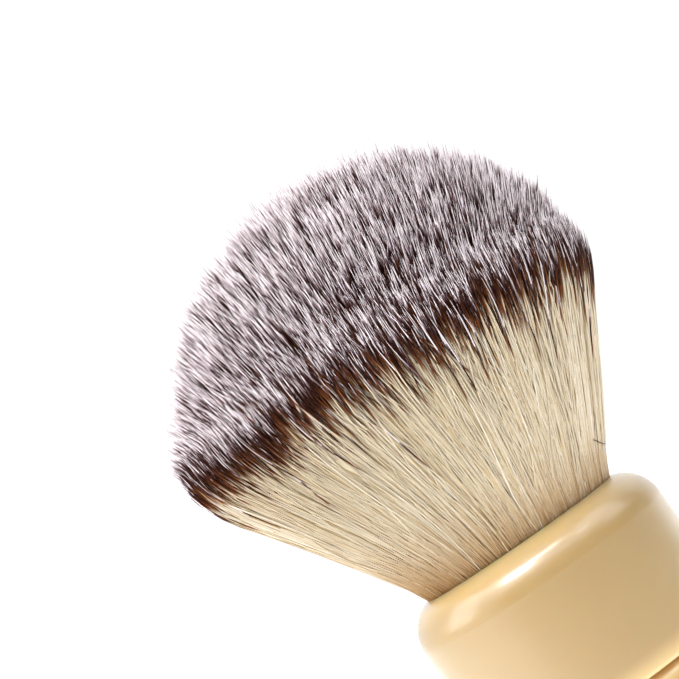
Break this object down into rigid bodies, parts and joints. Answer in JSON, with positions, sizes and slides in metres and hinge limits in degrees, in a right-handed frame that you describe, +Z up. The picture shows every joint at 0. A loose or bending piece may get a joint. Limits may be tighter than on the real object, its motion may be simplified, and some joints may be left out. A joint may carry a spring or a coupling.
{
  "type": "shaving brush",
  "caption": "Shaving brush with a fan-shaped fibre knot under a domed top, a round drum-shouldered handle, a waist bead and a weighted bulb grip.",
  "frame": {"origin": "middle of the face that the brush stands on", "axes": "+Z up along the brush's axis, from the base to the tips; the brush is round, so +X and +Y are any two sides"},
  "size_m": [0.058, 0.058, 0.1102],
  "materials": {
    "bristle": "matte",
    "faux_ivory": "gloss",
    "cup_plastic": "satin",
    "potting_resin": "gloss",
    "epoxy": "satin",
    "brass": "satin",
    "bare_steel": "satin",
    "plated_steel": "polished",
    "cap_plastic": "satin",
    "cork": "matte"
  },
  "bodies": {
    "handle": {"bristle_base": "bristle", "knot_cup": "cup_plastic", "knot_potting": "potting_resin", "knot_adhesive": "epoxy", "handle_collar": "faux_ivory", "collar_insert": "brass", "waist_ring": "faux_ivory", "handle_grip": "faux_ivory", "ballast_weight": "bare_steel", "draw_bolt": "plated_steel", "bolt_washer": "plated_steel", "base_cap": "cap_plastic", "foot_disc": "cork"},
    "tuft": {"bristle_tuft": "bristle"}
  },
  "joints": [
    {"name": "tuft_bend", "type": "hinge", "parent": "handle", "child": "tuft", "pos_m": [0, 0, 0.058], "axis": [0, 1, 0], "range_deg": [-30, 30], "stiffness_Nm_per_rad": 0.06}
  ]
}
